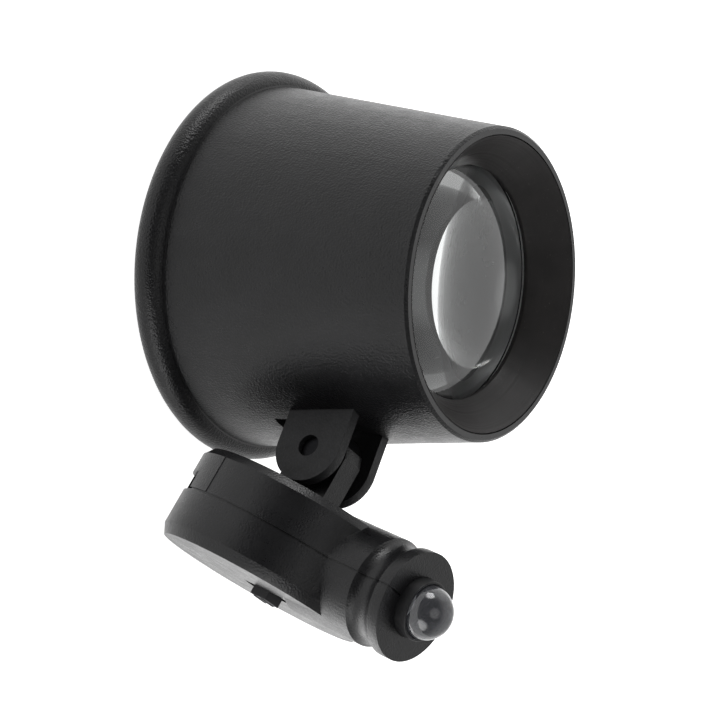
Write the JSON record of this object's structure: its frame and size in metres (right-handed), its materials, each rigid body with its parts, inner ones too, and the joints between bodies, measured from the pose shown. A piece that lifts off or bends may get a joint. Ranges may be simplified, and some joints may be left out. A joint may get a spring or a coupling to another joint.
{
  "type": "jewelers loupe",
  "caption": "Tapered black eye loupe with a single glass lens, and a small battery lamp hinged on its side that lights the work in front of the lens.",
  "frame": {"origin": "centre of the eye rim's flat face, on the optical axis", "axes": "+Z along the optical axis from the eye towards the work, -Y towards the lamp, X along the lamp's hinge pin"},
  "size_m": [0.0386, 0.0559, 0.0351],
  "materials": {
    "barrel_plastic": "black moulded plastic with a fine spark-eroded texture",
    "ring_plastic": "black satin plastic with fine turning marks",
    "lens_glass": "clear polished glass with a ground edge",
    "bracket_plastic": "dark grey matte plastic",
    "pin_steel": "blackened steel",
    "case_plastic": "black semi-matte moulded plastic",
    "sleeve_plastic": "black matte plastic",
    "led_epoxy": "water-clear cast epoxy",
    "lead_metal": "tinned steel",
    "chip_phosphor": "yellow phosphor",
    "cell_steel": "nickel-plated steel",
    "cell_seal": "dark nylon seal",
    "cell_core": "satin nickel-plated cap",
    "contact_brass": "stamped spring brass",
    "switch_plastic": "black satin plastic"
  },
  "bodies": {
    "barrel": {"eyecup": "barrel_plastic", "front_ring": "ring_plastic", "lens": "lens_glass", "lamp_bracket": "bracket_plastic"},
    "lamp": {"pivot_pin": "pin_steel", "upper_case": "case_plastic", "lower_case": "case_plastic", "led_sleeve": "sleeve_plastic", "led_body": "led_epoxy", "led_anode": "lead_metal", "led_cathode": "lead_metal", "led_chip": "chip_phosphor", "upper_cell_can": "cell_steel", "upper_cell_seal": "cell_seal", "upper_cell_cap": "cell_core", "lower_cell_can": "cell_steel", "lower_cell_seal": "cell_seal", "lower_cell_cap": "cell_core", "anode_contact": "contact_brass", "cell_contact": "contact_brass", "cathode_contact": "contact_brass"},
    "switch": {"switch_knob": "switch_plastic", "switch_contact": "contact_brass"}
  },
  "joints": [
    {"name": "lamp_hinge", "type": "hinge", "parent": "barrel", "child": "lamp", "pos_m": [0, -0.0194, 0.0167], "axis": [1, 0, 0], "range_deg": [-45, 18]},
    {"name": "switch_slide", "type": "slide", "parent": "lamp", "child": "switch", "axis": [0, -0.2079, 0.9781], "range_m": [-0.0013, 0.0013]}
  ]
}
